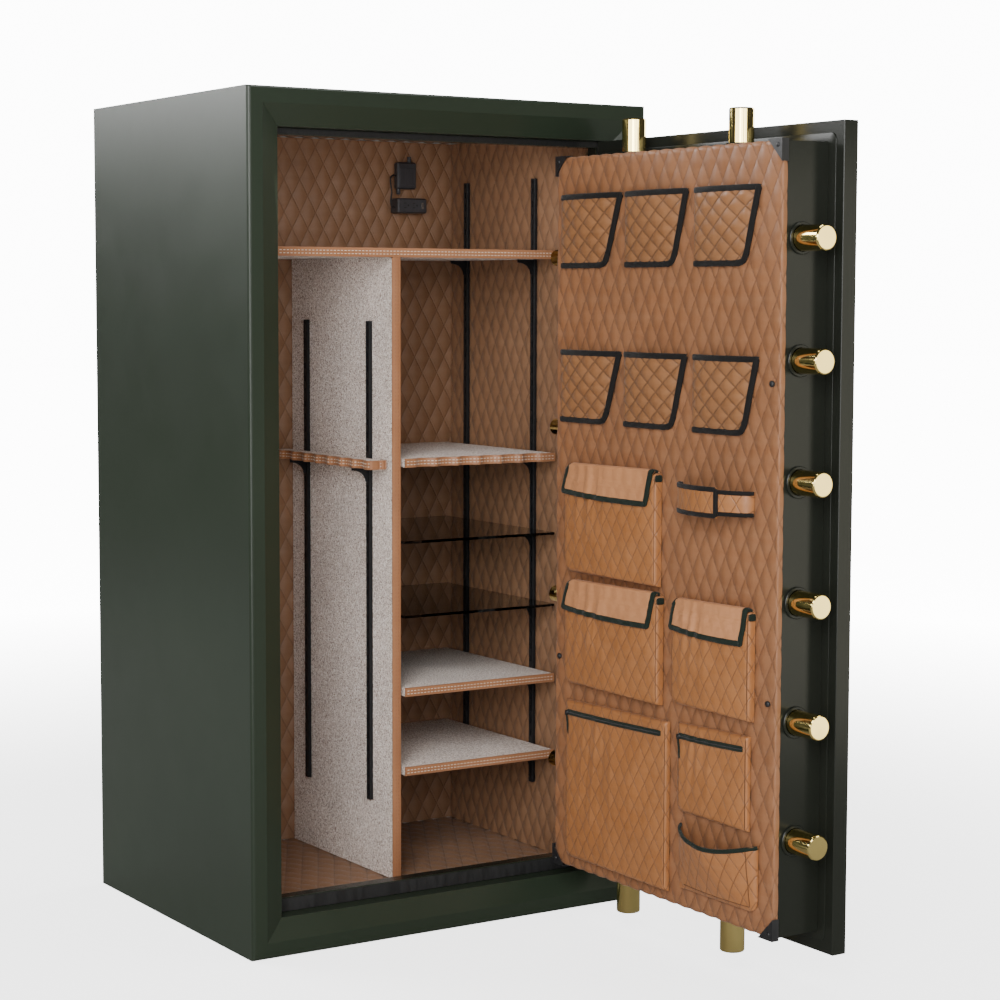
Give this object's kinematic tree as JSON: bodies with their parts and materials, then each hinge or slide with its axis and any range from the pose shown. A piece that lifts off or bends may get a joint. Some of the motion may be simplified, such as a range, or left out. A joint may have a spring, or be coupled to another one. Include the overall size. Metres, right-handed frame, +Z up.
{
  "type": "gun safe",
  "caption": "Tall green steel gun safe, its door swung open on a quilted interior with shelves, a divider, door pockets and round brass locking bolts.",
  "frame": {"origin": "middle of the cabinet's underside", "axes": "+Z up, the doorway faces -Y, the hinges are on the +X side, and the door is drawn swung open a quarter turn"},
  "size_m": [0.824, 1.372, 1.5],
  "materials": {
    "green_paint": "deep green gloss enamel",
    "black_steel": "black semi-gloss enamel",
    "plated_steel": "zinc plated",
    "brass": "polished",
    "fire_board": "paper-faced mineral board, matt",
    "quilt": "quilted tan leather, satin",
    "carpet": "speckled short-pile carpet with a stitched tan edge",
    "seal_rubber": "matt",
    "smoked_glass": "smoked, polished edges",
    "black_plastic": "matt",
    "pocket_leather": "saddle tan leather with bound edges"
  },
  "bodies": {
    "cabinet": {"body_shell": "green_paint", "strike_frame": "black_steel", "frame_seal": "seal_rubber", "fireboard_liner": "fire_board", "lining_left": "quilt", "lining_right": "quilt", "lining_rear": "quilt", "lining_ceiling": "quilt", "lining_floor": "quilt", "divider_panel": "carpet", "top_shelf": "carpet", "barrel_shelf": "carpet", "barrel_rest": "carpet", "carpet_shelf_upper": "carpet", "carpet_shelf_lower": "carpet", "glass_shelf_upper": "smoked_glass", "glass_shelf_lower": "smoked_glass", "outlet_strip": "black_plastic", "power_adapter": "black_plastic", "jumper_cord": "seal_rubber", "hinge_block_lower": "green_paint", "hinge_block_upper": "green_paint", "standard_right_wall_rear": "black_steel", "standard_right_wall_front": "black_steel", "standard_divider_right_rear": "black_steel", "standard_divider_right_front": "black_steel", "standard_divider_left_rear": "black_steel", "standard_divider_left_front": "black_steel"},
    "door": {"door_slab": "green_paint", "slab_fireboard": "fire_board", "bolt_box": "black_steel", "door_panel": "quilt", "hinge_leaf_lower": "green_paint", "hinge_leaf_upper": "green_paint", "hinge_side_bolts": "brass", "lock_body": "plated_steel", "corner_bracket_free_bottom": "black_plastic", "corner_bracket_free_top": "black_plastic", "corner_bracket_hinge_bottom": "black_plastic", "corner_bracket_hinge_top": "black_plastic", "holster_upper_1": "pocket_leather", "holster_upper_2": "pocket_leather", "holster_upper_3": "pocket_leather", "holster_lower_1": "pocket_leather", "holster_lower_2": "pocket_leather", "holster_lower_3": "pocket_leather", "flap_pocket_upper": "pocket_leather", "flap_pocket_lower": "pocket_leather", "flap_pocket_small": "pocket_leather", "zip_pocket_large": "pocket_leather", "zip_pocket_small": "pocket_leather", "butt_pocket": "pocket_leather", "long_gun_strap": "pocket_leather"},
    "boltwork_handle": {"handle": "brass", "drive_gear": "plated_steel"},
    "free_side_bolts": {"side_bolts": "brass"},
    "upper_bolts": {"top_bolts": "brass"},
    "lower_bolts": {"bottom_bolts": "brass"},
    "dial": {"combination_dial": "black_steel"},
    "lock_bolt": {"lock_bolt": "brass"}
  },
  "joints": [
    {"name": "door_swing", "type": "hinge", "parent": "cabinet", "child": "door", "pos_m": [0.346, -0.332, 0.75], "axis": [0, 0, 1], "range_deg": [-57, 90]},
    {"name": "handle_turn", "type": "hinge", "parent": "door", "child": "boltwork_handle", "pos_m": [0.326, -0.678, 0.7], "axis": [-1, 0, 0], "range_deg": [0, 90]},
    {"name": "side_bolts_slide", "type": "slide", "parent": "door", "child": "free_side_bolts", "axis": [0, 1, 0], "range_m": [0, 0.055]},
    {"name": "top_bolts_slide", "type": "slide", "parent": "door", "child": "upper_bolts", "axis": [0, 0, -1], "range_m": [0, 0.055]},
    {"name": "bottom_bolts_slide", "type": "slide", "parent": "door", "child": "lower_bolts", "axis": [0, 0, 1], "range_m": [0, 0.055]},
    {"name": "dial_spin", "type": "hinge", "parent": "door", "child": "dial", "pos_m": [0.326, -0.678, 0.93], "axis": [-1, 0, 0], "continuous": true},
    {"name": "lock_bolt_slide", "type": "slide", "parent": "door", "child": "lock_bolt", "axis": [0, -1, 0], "range_m": [0, 0.01]}
  ],
  "couplings": [
    {"joint": "side_bolts_slide", "follows": "handle_turn", "m_per_rad": 0.035},
    {"joint": "top_bolts_slide", "follows": "handle_turn", "m_per_rad": 0.035},
    {"joint": "bottom_bolts_slide", "follows": "handle_turn", "m_per_rad": 0.035}
  ]
}
